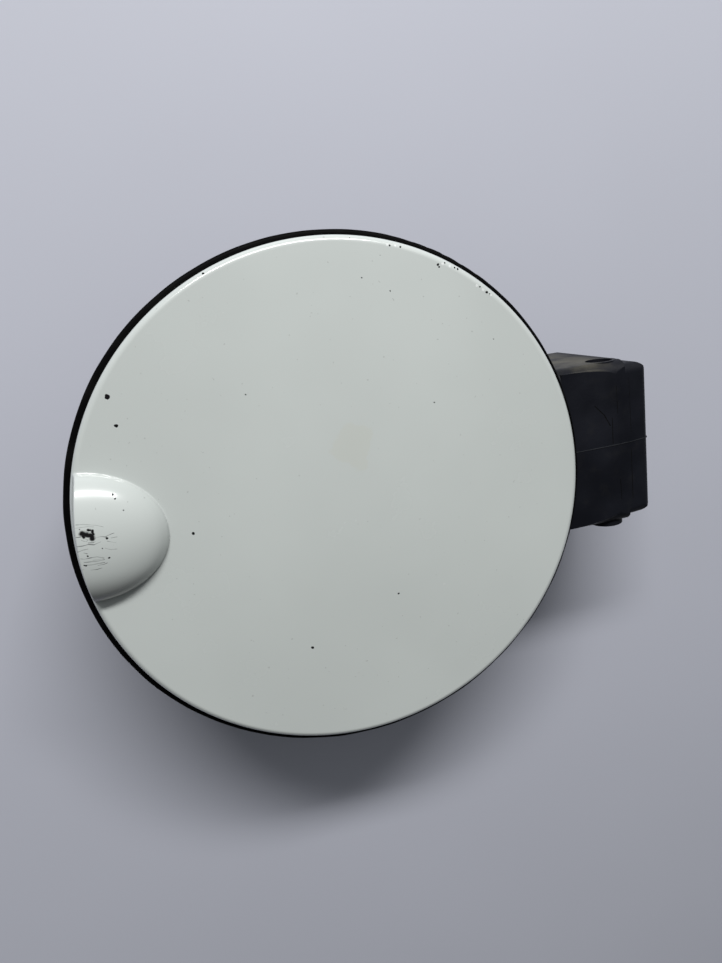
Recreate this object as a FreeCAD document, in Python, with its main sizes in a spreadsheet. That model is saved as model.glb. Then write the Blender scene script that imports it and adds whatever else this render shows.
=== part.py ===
import FreeCAD, Part
import math
import os
import Sketcher

# Fuel filler flap unit: a round painted flap with a finger hood, on a swan-neck hinge in a filler bowl.
# The origin is the centre of the neck bore in the bowl's base plane. X runs from the flap's centre to the
# hinge, Y runs along the hinge pin and Z is the flap's outward normal.
# Lengths are in millimetres, angles in degrees.

SIZES = {
    # flap skin
    "flap_radius": 75.0,
    "edge_top": 60.0,
    "crown_rise": 1.2,
    "skin_wall": 2.6,
    "skirt_wall": 2.4,
    "edge_height": 3.4,
    "edge_round": 1.9,
    # finger hood
    "hood_turn": 3.8,
    "hood_centre_inset": 2.8,
    "hood_reach": 22.4,
    "hood_half_width": 18.0,
    "hood_height": 8.8,
    "hood_wall": 2.0,
    "hood_blend": 2.5,
    "hood_inset": 0.6,
    "hood_lean": 1.6,
    "hood_floor_drop": 1.0,
    "hood_lip": 1.6,
    "hood_lip_rise": 0.1,
    # rim seal and rim flange
    "seal_gap": 0.4,
    "seal_margin": 2.4,
    "seal_thick": 2.2,
    "seal_lip_wall": 1.8,
    "seal_lip_drop": 0.9,
    "flange_thick": 2.4,
    # filler bowl
    "mouth_inset": 3.4,
    "bowl_wall": 2.2,
    "shoulder_drop": 15.6,
    "shoulder_draft": 1.0,
    "floor_inset": 25.6,
    "floor_thick": 2.6,
    "bowl_round": 12.0,
    # neck collar and gasket
    "neck_radius": 30.0,
    "gasket_wall": 4.0,
    "collar_wall": 2.5,
    "collar_height": 9.0,
    "gasket_flange": 2.0,
    # hinge pocket
    "pocket_set_back": 7.0,
    "arm_floor_gap": 2.1,
    "pocket_half_width": 27.0,
    "pocket_overhang": 13.9,
    "step_overhang": 5.1,
    "pocket_narrowing": 1.4,
    "pocket_root_offset": 6.0,
    "pocket_wall": 2.3,
    "crease_overhang": 1.5,
    "nose_drop": 1.9,
    "pocket_round": 4.2,
    "corner_round": 5.0,
    "nose_round": 3.0,
    # hinge
    "pivot_offset": 17.5,
    "pivot_drop": 7.6,
    "open_angle": 95.0,
    "pin_radius": 2.0,
    "pin_clearance": 0.05,
    "boss_radius": 5.4,
    "boss_height": 1.5,
    "boss_depth": 2.5,
    "pin_recess_radius": 4.2,
    "pin_recess": 3.0,
    "hub_radius": 4.3,
    "hub_end_gap": 0.4,
    # swan-neck arms and inner carrier
    "throat_margin": 5.6,
    "arm_thick": 5.5,
    "arm_width": 8.0,
    "arm_spacing": 26.0,
    "arm_start": 180.0,
    "arm_sweep": 106.0,
    "arm_tail": 16.0,
    "web_thick": 6.5,
    "tie_thick": 2.5,
    "tie_start": 190.0,
    "tie_sweep": 55.0,
    "carrier_inset": 15.6,
    "carrier_gap": 1.8,
    "carrier_thick": 2.2,
    "carrier_rib_wall": 2.4,
    "carrier_rib_height": 2.4,
    # cam and leaf spring
    "cam_flat": 4.6,
    "cam_corner": 5.4,
    "cam_overhang": 0.5,
    "spring_gap": 0.3,
    "spring_thick": 0.8,
    "holder_cheek": 2.0,
    "spring_tip_rise": 2.4,
    "spring_foot_rise": 5.7,
    "holder_height": 9.0,
    "holder_side_gap": 1.0,
    "holder_lip": 1.6,
    # screws
    "screw_inset": 12.0,
    "screw_count": 5,
    "screw_radius": 1.5,
    "screw_depth": 2.8,
    "screw_head_radius": 3.2,
    "screw_head_height": 2.0,
    "screw_boss_radius": 3.6,
    # buffers
    "buffer_inset": 5.4,
    "buffer_turn": 38.0,
    "buffer_seat_radius": 6.4,
    "buffer_seat_drop": 5.0,
    "buffer_seat_height": 6.0,
    "buffer_head_radius": 4.4,
    "buffer_stem_radius": 2.4,
    "buffer_gap": 0.35,
    # retaining clips
    "clip_width": 10.0,
    "clip_height": 15.0,
    "clip_thick": 1.0,
    "clip_spring": 1.6,
    "clip_gap": 0.05,
    "clip_turn": 45.0,
    "clip_count": 4,
    # drain spigot
    "drain_height": 14.0,
    "drain_radius": 5.0,
    "drain_bore": 3.4,
    "drain_shoulder_offset": 19.0,
    "drain_length": 11.0,
    "drain_shoulder_radius": 7.0,
}


class Size:
    """A length or angle that holds its number and the expression that ties it to the spreadsheet."""

    def __init__(self, value, text):
        self.value = value
        self.text = text

    def __add__(self, other):
        other = as_size(other)
        return Size(self.value + other.value, f"({self.text} + {other.text})")

    def __sub__(self, other):
        other = as_size(other)
        return Size(self.value - other.value, f"({self.text} - {other.text})")

    def __mul__(self, other):
        other = as_size(other)
        return Size(self.value * other.value, f"{self.text} * {other.text}")

    def __truediv__(self, other):
        other = as_size(other)
        return Size(self.value / other.value, f"{self.text} / {other.text}")

    def __neg__(self):
        return Size(-self.value, f"(0 - {self.text})")


def as_size(number):
    """Gives a plain number the same form as a named size."""
    return number if isinstance(number, Size) else Size(float(number), repr(float(number)))


def cos_of(angle):
    """Cosine of an angle in degrees."""
    return Size(math.cos(math.radians(angle.value)), f"cos({angle.text})")


def sin_of(angle):
    """Sine of an angle in degrees."""
    return Size(math.sin(math.radians(angle.value)), f"sin({angle.text})")


def root_of(square):
    """Square root."""
    return Size(math.sqrt(square.value), f"sqrt({square.text})")


class Named:
    """The named sizes as attributes."""


doc = FreeCAD.newDocument("fuel_filler_flap")
sheet = doc.addObject("Spreadsheet::Sheet", "sizes")
dim = Named()
for row, (alias, number) in enumerate(SIZES.items(), start=1):
    sheet.set(f"A{row}", alias)
    sheet.set(f"B{row}", str(number))
    sheet.setAlias(f"B{row}", alias)
    setattr(dim, alias, Size(float(number), f"sizes.{alias}"))
doc.recompute()

# Radii and distances from the flap's axis that follow from the flap and the hinge
hood_centre = dim.flap_radius - dim.hood_centre_inset
seal_outer = dim.flap_radius + dim.seal_margin
flange_radius = seal_outer - dim.seal_lip_wall
mouth_radius = dim.flap_radius - dim.mouth_inset
floor_radius = mouth_radius - dim.floor_inset
carrier_radius = mouth_radius - dim.carrier_inset
screw_circle = carrier_radius - dim.screw_inset
buffer_circle = mouth_radius - dim.buffer_inset
collar_inner = dim.neck_radius + dim.gasket_wall
collar_outer = collar_inner + dim.collar_wall
pivot_reach = dim.flap_radius + dim.pivot_offset
throat_radius = pivot_reach - mouth_radius + dim.throat_margin
arm_outer = throat_radius + dim.arm_thick
pocket_root = floor_radius + dim.pocket_root_offset
crease = pivot_reach + dim.crease_overhang
pocket_step = pivot_reach + dim.step_overhang
pocket_end = pivot_reach + dim.pocket_overhang
pocket_end_inner = pocket_end - dim.pocket_wall
drain_shoulder = floor_radius + dim.drain_shoulder_offset
drain_end = drain_shoulder + dim.drain_length

# Heights that follow from the flap's edge
edge_bottom = dim.edge_top - dim.edge_height
skin_under = dim.edge_top - dim.skin_wall
seal_top = edge_bottom - dim.seal_gap
flange_top = seal_top - dim.seal_thick
flange_under = flange_top - dim.flange_thick
shoulder_height = flange_under - dim.shoulder_drop
carrier_top = skin_under - dim.carrier_gap
carrier_under = carrier_top - dim.carrier_thick
buffer_seat_top = flange_top - dim.buffer_seat_drop
pocket_front = dim.edge_top - dim.pocket_set_back
pivot_height = pocket_front - dim.pivot_drop
pocket_floor = pivot_height - arm_outer - dim.arm_floor_gap
pocket_bottom = pocket_floor - dim.pocket_wall
spring_foot = pocket_floor + dim.spring_foot_rise
gasket_top = dim.collar_height + dim.gasket_flange

# Widths across the hinge's middle plane
boss_face = dim.pocket_half_width + dim.boss_height
pocket_inner = dim.pocket_half_width - dim.pocket_wall
end_half_width = dim.pocket_half_width - dim.pocket_narrowing
end_inner = end_half_width - dim.pocket_wall
boss_inner = end_inner - dim.boss_depth
holder_width = dim.arm_spacing - dim.arm_width - dim.holder_side_gap * 2
spring_width = holder_width - dim.holder_cheek * 2
cam_width = spring_width + dim.cam_overhang * 2


# Helpers

def bind(feature, **sizes):
    """Ties properties of a feature to the spreadsheet."""
    for name, size in sizes.items():
        feature.setExpression(name, as_size(size).text)


def place(feature, x=0, y=0, z=0, turn=None):
    """Ties a feature's position to the spreadsheet and gives it its rotation."""
    if turn is not None:
        feature.Placement.Rotation = turn
    for axis, size in (("x", x), ("y", y), ("z", z)):
        feature.setExpression(f"Placement.Base.{axis}", as_size(size).text)


def primitive(kind, name, at=(0, 0, 0), turn=None, **sizes):
    """Adds a Part primitive with tied sizes."""
    feature = doc.addObject(f"Part::{kind}", name)
    bind(feature, **sizes)
    place(feature, *at, turn=turn)
    return feature


def fuse(name, *features):
    """Joins features."""
    feature = doc.addObject("Part::MultiFuse", name)
    feature.Shapes = list(features)
    feature.Refine = True
    return feature


def common(name, *features):
    """Keeps what the features share."""
    feature = doc.addObject("Part::MultiCommon", name)
    feature.Shapes = list(features)
    return feature


def cut(name, base, tool):
    """Takes a tool away from a base."""
    feature = doc.addObject("Part::Cut", name)
    feature.Base = base
    feature.Tool = tool
    return feature


def sketch_on(body, role, name, offset=None):
    """Adds a sketch on one of a body's origin planes."""
    plane = next(item for item in body.Origin.OriginFeatures if item.Role == role)
    sketch = body.newObject("Sketcher::SketchObject", name)
    sketch.AttachmentSupport = [(plane, "")]
    sketch.MapMode = "FlatFace"
    if offset is not None:
        sketch.setExpression("AttachmentOffset.Base.z", offset.text)
    return sketch


def fix_point(sketch, geometry, position, corner):
    """Ties a sketch point to its two coordinates."""
    for kind, axis, size in (("DistanceX", -2, as_size(corner[0])), ("DistanceY", -1, as_size(corner[1]))):
        if size.text == "0.0":
            sketch.addConstraint(Sketcher.Constraint("PointOnObject", geometry, position, axis))
        else:
            index = sketch.addConstraint(Sketcher.Constraint(kind, -1, 1, geometry, position, size.value))
            sketch.setExpression(f"Constraints[{index}]", size.text)


def crown_arc(start, end):
    """Arc between two points with its centre on the vertical axis, and whether it runs backwards."""
    (x1, y1), (x2, y2) = start, end
    centre = (x1 ** 2 + y1 ** 2 - x2 ** 2 - y2 ** 2) / (2 * (y1 - y2))
    radius = math.hypot(x1, y1 - centre)
    first = math.atan2(y1 - centre, x1)
    last = math.atan2(y2 - centre, x2)
    circle = Part.Circle(FreeCAD.Vector(0, centre, 0), FreeCAD.Vector(0, 0, 1), radius)
    return Part.ArcOfCircle(circle, min(first, last), max(first, last)), first > last


def outline(sketch, corners, crowned=()):
    """Draws a closed outline through corners; the segments named in crowned are arcs centred on the axis."""
    points = [(as_size(x).value, as_size(y).value) for x, y in corners]
    ends = []
    for index, start in enumerate(points):
        end = points[(index + 1) % len(points)]
        backwards = False
        if index in crowned:
            curve, backwards = crown_arc(start, end)
        else:
            curve = Part.LineSegment(FreeCAD.Vector(*start, 0), FreeCAD.Vector(*end, 0))
        sketch.addGeometry(curve)
        ends.append((2, 1) if backwards else (1, 2))
    for index in range(len(points)):
        following = (index + 1) % len(points)
        last, first = ends[index][1], ends[following][0]
        sketch.addConstraint(Sketcher.Constraint("Coincident", index, last, following, first))
        if index in crowned:
            sketch.addConstraint(Sketcher.Constraint("PointOnObject", index, 3, -2))
    for index, corner in enumerate(corners):
        fix_point(sketch, index, ends[index][0], corner)


def turned(body, kind, name, corners, crowned=()):
    """Adds a Revolution or Groove about the vertical axis from an outline in the XZ plane."""
    sketch = sketch_on(body, "XZ_Plane", f"{name}_sketch")
    outline(sketch, corners, crowned)
    feature = body.newObject(f"PartDesign::{kind}", name)
    feature.Profile = sketch
    feature.ReferenceAxis = (sketch, ["V_Axis"])
    feature.Angle = 360
    return feature


def across(body, kind, name, draw, width):
    """Adds a Pad or Pocket of a drawing in the XZ plane, symmetric about it."""
    sketch = sketch_on(body, "XZ_Plane", f"{name}_sketch")
    draw(sketch)
    feature = body.newObject(f"PartDesign::{kind}", name)
    feature.Profile = sketch
    feature.SideType = "Symmetric"
    bind(feature, Length=width)
    return feature


def raised(body, kind, name, role, draw, offset, length):
    """Adds a Pad or Pocket of a drawing in an offset plane."""
    sketch = sketch_on(body, role, f"{name}_sketch", offset)
    draw(sketch)
    feature = body.newObject(f"PartDesign::{kind}", name)
    feature.Profile = sketch
    bind(feature, Length=length)
    return feature


def rounded(body, base, name, radius, test):
    """Rounds the edges of a feature that pass a test."""
    doc.recompute()
    names = [f"Edge{number}" for number, edge in enumerate(base.Shape.Edges, start=1) if test(edge)]
    feature = body.newObject("PartDesign::Fillet", name)
    feature.Base = (base, names)
    bind(feature, Radius=radius)
    return feature


def is_circle(edge, radius, height):
    """Whether an edge is a level circle of this radius and height."""
    return (
        not edge.Degenerated
        and isinstance(edge.Curve, Part.Circle)
        and abs(edge.Curve.Radius - radius.value) < 0.01
        and abs(edge.Curve.Center.z - height.value) < 0.01
    )


# Rotation that lays an upright cylinder along the hinge pin, its angles counted from +X towards +Z
ALONG_PIN = FreeCAD.Rotation(FreeCAD.Vector(1, 0, 0), 90)


def sector(name, radius, width, start, sweep):
    """Adds a pie-shaped slice about the hinge pin."""
    turn = ALONG_PIN.multiply(FreeCAD.Rotation(FreeCAD.Vector(0, 0, 1), start.value))
    at = (pivot_reach, width / 2, pivot_height)
    return primitive("Cylinder", name, at, turn, Radius=radius, Height=width, Angle=sweep)


# Filler bowl

shoulder_inner = mouth_radius - dim.shoulder_draft
wall_outer = mouth_radius + dim.bowl_wall
shoulder_outer = shoulder_inner + dim.bowl_wall
base_radius = floor_radius + dim.bowl_wall
dish = doc.addObject("PartDesign::Body", "dish")
dish_turned = turned(dish, "Revolution", "dish_turned", [
    (0, 0),
    (base_radius, 0),
    (shoulder_outer, shoulder_height),
    (wall_outer, flange_under),
    (flange_radius, flange_under),
    (flange_radius, flange_top),
    (0, flange_top),
])
rounded(
    dish, dish_turned, "dish_round", dim.bowl_round,
    lambda edge: is_circle(edge, shoulder_outer, shoulder_height),
)

hollow = doc.addObject("PartDesign::Body", "hollow")
hollow_turned = turned(hollow, "Revolution", "hollow_turned", [
    (0, -dim.floor_thick),
    (collar_inner, -dim.floor_thick),
    (collar_inner, dim.collar_height),
    (collar_outer, dim.collar_height),
    (collar_outer, dim.floor_thick),
    (floor_radius, dim.floor_thick),
    (shoulder_inner, shoulder_height),
    (mouth_radius, flange_under),
    (mouth_radius, flange_top + dim.flange_thick),
    (0, flange_top + dim.flange_thick),
])
rounded(
    hollow, hollow_turned, "hollow_round", dim.bowl_round - dim.bowl_wall,
    lambda edge: is_circle(edge, shoulder_inner, shoulder_height),
)

# Hinge pocket: a wide block up to the pin bosses and a narrower block beyond them

pocket_height = pocket_front - pocket_bottom
nose_slope = dim.nose_drop / (pocket_end - crease)


def pocket_side(sketch, start, end):
    """Side view of a pocket block whose front slopes down beyond the crease."""
    outline(sketch, [
        (start, pocket_bottom),
        (end, pocket_bottom),
        (end, pocket_front - nose_slope * (end - crease)),
        (crease, pocket_front),
        (start, pocket_front),
    ])


def level_block(name, start, end, half_width, low, height):
    """Adds a plain block that stands on a level plane."""
    body = doc.addObject("PartDesign::Body", name)
    corners = [(start, -half_width), (end, -half_width), (end, half_width), (start, half_width)]
    pad = raised(body, "Pad", f"{name}_pad", "XY_Plane", lambda sketch: outline(sketch, corners), low, height)
    return body, pad


def side_block(name, start, end, half_width):
    """Adds a block of the pocket from its side view."""
    body = doc.addObject("PartDesign::Body", name)
    pad = across(body, "Pad", f"{name}_pad", lambda sketch: pocket_side(sketch, start, end), half_width * 2)
    return body, pad


def runs_along(edge, axis):
    """Whether an edge runs straight along X, Y or Z."""
    box = edge.BoundBox
    lengths = {"X": box.XLength, "Y": box.YLength, "Z": box.ZLength}
    return all((size > 0.1) == (name == axis) for name, size in lengths.items())


def is_front_side(edge, height):
    """Whether an edge is a long side of a block's front at this height."""
    return runs_along(edge, "X") and abs(edge.CenterOfMass.z - height.value) < 0.1


wide_side, wide_side_pad = side_block("wide_side", pocket_root, pocket_step, dim.pocket_half_width)
wide_top, wide_top_pad = level_block(
    "wide_top", pocket_root, pocket_step, dim.pocket_half_width, pocket_bottom, pocket_height,
)
rounded(
    wide_top, wide_top_pad, "wide_edges", dim.pocket_round,
    lambda edge: is_front_side(edge, pocket_front),
)
wide_block = common("wide_block", wide_side, wide_top)

narrow_side, narrow_side_pad = side_block("narrow_side", dim.flap_radius, pocket_end, end_half_width)
rounded(
    narrow_side, narrow_side_pad, "nose", dim.nose_round,
    lambda edge: runs_along(edge, "Y") and edge.CenterOfMass.x > pocket_step.value
    and edge.CenterOfMass.z > pivot_height.value,
)
narrow_plan, narrow_plan_pad = level_block(
    "narrow_plan", dim.flap_radius, pocket_end, end_half_width, pocket_bottom, pocket_height,
)
rounded(
    narrow_plan, narrow_plan_pad, "narrow_corners", dim.corner_round,
    lambda edge: runs_along(edge, "Z") and edge.CenterOfMass.x > pocket_step.value,
)
narrow_top, narrow_top_pad = level_block(
    "narrow_top", dim.flap_radius - pocket_end, pocket_end - dim.flap_radius, end_half_width,
    -(pocket_height * 2), pocket_height * 2,
)
rounded(
    narrow_top, narrow_top_pad, "narrow_edges", dim.nose_round,
    lambda edge: is_front_side(edge, as_size(0)),
)
nose_tilt = math.degrees(math.atan(nose_slope.value))
place(narrow_top, crease, 0, pocket_front, FreeCAD.Rotation(FreeCAD.Vector(0, 1, 0), nose_tilt))
narrow_block = common("narrow_block", narrow_side, narrow_plan, narrow_top)


def cavity_profile(sketch):
    """Side view of the room for the swan-neck arms."""
    roof = pocket_front - dim.pocket_wall
    wide_end = pocket_step - dim.pocket_wall
    outline(sketch, [
        (floor_radius, pocket_floor),
        (wide_end, pocket_floor),
        (wide_end, roof),
        (floor_radius, roof),
    ])


def cavity_end_profile(sketch):
    """Side view of the narrow room at the pocket's outer end."""
    roof = pocket_front - dim.pocket_wall
    outline(sketch, [
        (dim.flap_radius, pocket_floor),
        (pocket_end_inner, pocket_floor),
        (pocket_end_inner, roof - nose_slope * (pocket_end_inner - crease)),
        (crease, roof),
        (dim.flap_radius, roof),
    ])


cavity = doc.addObject("PartDesign::Body", "cavity")
across(cavity, "Pad", "cavity_pad", cavity_profile, pocket_inner * 2)
cavity_end = doc.addObject("PartDesign::Body", "cavity_end")
across(cavity_end, "Pad", "cavity_end_pad", cavity_end_profile, end_inner * 2)

boss = primitive(
    "Cylinder", "boss", (pivot_reach, 0, pivot_height), ALONG_PIN,
    Radius=dim.boss_radius, Height=boss_face,
)
recess_floor = dim.pocket_half_width - dim.pin_recess
pin_recess = primitive(
    "Cylinder", "pin_recess", (pivot_reach, boss_face, pivot_height), ALONG_PIN,
    Radius=dim.pin_recess_radius, Height=boss_face - recess_floor,
)
inner_bosses = [
    primitive(
        "Cylinder", f"inner_boss_{side}", (pivot_reach, start, pivot_height), ALONG_PIN,
        Radius=dim.boss_radius, Height=dim.pocket_half_width - boss_inner,
    )
    for side, start in (("front", -boss_inner), ("back", dim.pocket_half_width))
]
pin_length = recess_floor + dim.pocket_half_width
hinge_pin = primitive(
    "Cylinder", "hinge_pin", (pivot_reach, recess_floor, pivot_height), ALONG_PIN,
    Radius=dim.pin_radius, Height=pin_length,
)

drain_start = (0, -floor_radius, dim.drain_height)
drain_reach = drain_end - floor_radius
drain = primitive(
    "Cylinder", "drain", drain_start, ALONG_PIN,
    Radius=dim.drain_radius, Height=drain_reach,
)
drain_stop = primitive(
    "Cylinder", "drain_shoulder", drain_start, ALONG_PIN,
    Radius=dim.drain_shoulder_radius, Height=drain_shoulder - floor_radius,
)
drain_hole = primitive(
    "Cylinder", "drain_hole", drain_start, ALONG_PIN,
    Radius=dim.drain_bore, Height=drain_reach,
)

bowl_outer = fuse("bowl_outer", dish, wide_block, narrow_block, boss, drain, drain_stop)
bowl_room = fuse("bowl_room", hollow, cavity, cavity_end, drain_hole)
bowl_shell = cut("bowl_shell", bowl_outer, bowl_room)

# Leaf spring and the holder moulded on the pocket's end wall

spring_face = pivot_reach + dim.cam_flat + dim.spring_gap
spring_back = spring_face + dim.spring_thick
spring_tip = pivot_height + dim.spring_tip_rise
holder_face = spring_face - dim.holder_lip
holder = primitive(
    "Box", "holder", (holder_face, -holder_width / 2, pocket_floor),
    Length=pocket_end_inner - holder_face, Width=holder_width,
    Height=spring_foot - pocket_floor + dim.holder_height,
)
detent_spring = primitive(
    "Box", "detent_spring", (spring_face, -spring_width / 2, spring_foot),
    Length=dim.spring_thick, Width=spring_width, Height=spring_tip - spring_foot,
)

# Buffers and their seats

buffer_top = skin_under - dim.buffer_gap
seats = []
buffer_heads = []
buffer_stems = []
stem_holes = []
seat_under = buffer_seat_top - dim.buffer_seat_height
for side, sign in (("front", -1), ("back", 1)):
    across_turn = sin_of(dim.buffer_turn) * buffer_circle * sign
    along_turn = -(cos_of(dim.buffer_turn) * buffer_circle)
    seats.append(primitive(
        "Cylinder", f"seat_{side}", (along_turn, across_turn, seat_under),
        Radius=dim.buffer_seat_radius, Height=dim.buffer_seat_height,
    ))
    stem_holes.append(primitive(
        "Cylinder", f"stem_hole_{side}", (along_turn, across_turn, seat_under),
        Radius=dim.buffer_stem_radius, Height=dim.buffer_seat_height,
    ))
    buffer_stems.append(primitive(
        "Cylinder", f"stem_{side}", (along_turn, across_turn, seat_under),
        Radius=dim.buffer_stem_radius, Height=dim.buffer_seat_height,
    ))
    buffer_heads.append(primitive(
        "Cylinder", f"head_{side}", (along_turn, across_turn, buffer_seat_top),
        Radius=dim.buffer_head_radius, Height=buffer_top - buffer_seat_top,
    ))
stop_buffers = fuse("stop_buffers", *buffer_heads, *buffer_stems)

bowl_joined = fuse("bowl_joined", bowl_shell, holder, *seats, *inner_bosses)
bowl_holes = fuse("bowl_holes", detent_spring, hinge_pin, pin_recess, *stem_holes)
filler_bowl = cut("filler_bowl", bowl_joined, bowl_holes)

# Rim seal and neck gasket

seal = doc.addObject("PartDesign::Body", "rim_seal")
turned(seal, "Revolution", "seal_profile", [
    (mouth_radius, flange_top),
    (flange_radius, flange_top),
    (flange_radius, flange_top - dim.seal_lip_drop),
    (seal_outer, flange_top - dim.seal_lip_drop),
    (seal_outer, seal_top),
    (mouth_radius, seal_top),
])

gasket = doc.addObject("PartDesign::Body", "neck_gasket")
turned(gasket, "Revolution", "gasket_profile", [
    (dim.neck_radius, 0),
    (collar_inner, 0),
    (collar_inner, dim.collar_height),
    (collar_outer, dim.collar_height),
    (collar_outer, gasket_top),
    (dim.neck_radius, gasket_top),
])

# Retaining clips on the bowl's wall under the rim flange

clips = []
blade_radius = wall_outer + dim.clip_gap
for number in range(int(dim.clip_count.value)):
    heading = dim.clip_turn + as_size(360.0 * number) / dim.clip_count
    turn = FreeCAD.Rotation(FreeCAD.Vector(0, 0, 1), heading.value)
    clips.append(primitive(
        "Wedge", f"clip_{number}",
        (
            cos_of(heading) * blade_radius + sin_of(heading) * dim.clip_width / 2,
            sin_of(heading) * blade_radius - cos_of(heading) * dim.clip_width / 2,
            flange_under - dim.clip_height,
        ),
        turn,
        Xmin=0, Xmax=dim.clip_thick, X2min=0, X2max=dim.clip_spring,
        Ymin=0, Ymax=dim.clip_width, Zmin=0, Zmax=dim.clip_height, Z2min=0, Z2max=dim.clip_height,
    ))
retaining_clips = fuse("retaining_clips", *clips)

# Flap skin with its finger hood

panel = doc.addObject("PartDesign::Body", "panel_body")
crown_top = dim.edge_top + dim.crown_rise
skirt_inner = dim.flap_radius - dim.skirt_wall
panel_disc = turned(panel, "Revolution", "panel_disc", [
    (0, crown_top - dim.skin_wall),
    (skirt_inner, skin_under),
    (skirt_inner, edge_bottom),
    (dim.flap_radius, edge_bottom),
    (dim.flap_radius, dim.edge_top),
    (0, crown_top),
], crowned=(0, 4))
panel_edge = rounded(
    panel, panel_disc, "panel_edge", dim.edge_round,
    lambda edge: is_circle(edge, dim.flap_radius, dim.edge_top),
)

hood_at = (
    -(cos_of(dim.hood_turn) * hood_centre),
    sin_of(dim.hood_turn) * hood_centre,
    dim.edge_top,
)
hood_rotation = FreeCAD.Rotation(FreeCAD.Vector(0, 0, 1), -dim.hood_turn.value)
hood_outer = primitive(
    "Ellipsoid", "hood_outer", hood_at, hood_rotation,
    Radius1=dim.hood_height, Radius2=dim.hood_reach, Radius3=dim.hood_half_width,
)
hood_inner = primitive(
    "Ellipsoid", "hood_inner", hood_at, hood_rotation,
    Radius1=dim.hood_height - dim.hood_wall, Radius2=dim.hood_reach - dim.hood_wall,
    Radius3=dim.hood_half_width - dim.hood_wall,
)
hood_end = dim.flap_radius - dim.hood_inset
hood_limit = primitive(
    "Cone", "hood_limit", (0, 0, skin_under + dim.skin_wall / 2),
    Radius1=hood_end, Radius2=hood_end - dim.hood_lean, Height=dim.hood_height + dim.skin_wall / 2,
)
hood_dome = common("hood_dome", hood_outer, hood_limit)
floor_height = dim.edge_top - dim.hood_floor_drop
lip_radius = dim.flap_radius - dim.hood_lip
room_low = primitive(
    "Cylinder", "room_low", (0, 0, floor_height), Radius=lip_radius,
    Height=dim.hood_floor_drop + dim.hood_lip_rise * 2,
)
room_high = primitive(
    "Cylinder", "room_high", (0, 0, dim.edge_top + dim.hood_lip_rise),
    Radius=dim.flap_radius + dim.hood_reach, Height=dim.hood_height * 2,
)
finger_room = common("finger_room", hood_inner, fuse("room_limit", room_low, room_high))

screw_bosses = []
screw_pilots = []
screw_shanks = []
screw_heads = []
screw_passages = []
for number in range(int(dim.screw_count.value)):
    heading = as_size(360.0 * (number + 0.5)) / dim.screw_count
    across_at = sin_of(heading) * screw_circle
    along_at = cos_of(heading) * screw_circle
    screw_bosses.append(primitive(
        "Cylinder", f"screw_boss_{number}", (along_at, across_at, carrier_top),
        Radius=dim.screw_boss_radius, Height=dim.edge_top - dim.skin_wall / 2 - carrier_top,
    ))
    screw_pilots.append(primitive(
        "Cylinder", f"screw_pilot_{number}", (along_at, across_at, carrier_top),
        Radius=dim.screw_radius, Height=dim.screw_depth,
    ))
    screw_passages.append(primitive(
        "Cylinder", f"screw_passage_{number}", (along_at, across_at, carrier_under),
        Radius=dim.screw_radius, Height=dim.carrier_thick,
    ))
    screw_shanks.append(primitive(
        "Cylinder", f"screw_shank_{number}", (along_at, across_at, carrier_under),
        Radius=dim.screw_radius, Height=dim.carrier_thick + dim.screw_depth,
    ))
    screw_heads.append(primitive(
        "Cylinder", f"screw_head_{number}", (along_at, across_at, carrier_under - dim.screw_head_height),
        Radius=dim.screw_head_radius, Height=dim.screw_head_height,
    ))
carrier_screws = fuse("carrier_screws", *screw_shanks, *screw_heads)

skin_joined = fuse("skin_joined", panel, hood_dome)
doc.recompute()


def on_hood_base(edge):
    """Whether an edge is the line where the hood meets the panel."""
    middle = edge.CenterOfMass
    corner = edge.valueAt((edge.FirstParameter + edge.LastParameter) / 2)
    inland = math.hypot(corner.x, corner.y) < hood_end.value - 4
    return inland and corner.z < crown_top.value + 0.2 and middle.x < 0 and edge.BoundBox.ZLength < 1.5


skin_blend = doc.addObject("Part::Fillet", "skin_blend")
skin_blend.Base = skin_joined
skin_blend.Edges = [
    (number, dim.hood_blend.value, dim.hood_blend.value)
    for number, edge in enumerate(skin_joined.Shape.Edges, start=1)
    if on_hood_base(edge)
]
flap_skin = cut(
    "flap_skin", fuse("skin_with_bosses", skin_blend, *screw_bosses),
    fuse("skin_holes", finger_room, *screw_pilots),
)

# Inner carrier with swan-neck arms, hub and cam

plate_blank = primitive(
    "Cylinder", "plate_blank", (0, 0, carrier_under - dim.carrier_rib_height),
    Radius=carrier_radius, Height=dim.carrier_thick + dim.carrier_rib_height,
)
plate_hollow = primitive(
    "Cylinder", "plate_hollow", (0, 0, carrier_under - dim.carrier_rib_height),
    Radius=carrier_radius - dim.carrier_rib_wall, Height=dim.carrier_rib_height,
)
plate = cut("plate", plate_blank, plate_hollow)
arms = []
for side, sign in (("front", -1), ("back", 1)):
    middle = dim.arm_spacing / 2 * sign
    swan = primitive(
        "Cylinder", f"swan_{side}", (pivot_reach, middle + dim.arm_width / 2, pivot_height),
        ALONG_PIN.multiply(FreeCAD.Rotation(FreeCAD.Vector(0, 0, 1), dim.arm_start.value)),
        Radius=arm_outer, Height=dim.arm_width, Angle=dim.arm_sweep,
    )
    arms.append(swan)
    leg_back = pivot_reach - arm_outer
    arms.append(primitive(
        "Box", f"leg_{side}", (leg_back, middle - dim.arm_width / 2, pivot_height),
        Length=dim.arm_thick, Width=dim.arm_width, Height=carrier_top - pivot_height,
    ))
    arms.append(primitive(
        "Box", f"tail_{side}",
        (leg_back - dim.arm_tail, middle - dim.arm_width / 2, carrier_under - dim.arm_thick / 2),
        Length=dim.arm_tail + dim.arm_thick, Width=dim.arm_width,
        Height=dim.arm_thick / 2 + dim.carrier_thick,
    ))
throat = primitive(
    "Cylinder", "throat", (pivot_reach, dim.arm_spacing, pivot_height), ALONG_PIN,
    Radius=throat_radius, Height=dim.arm_spacing * 2,
)
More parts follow.
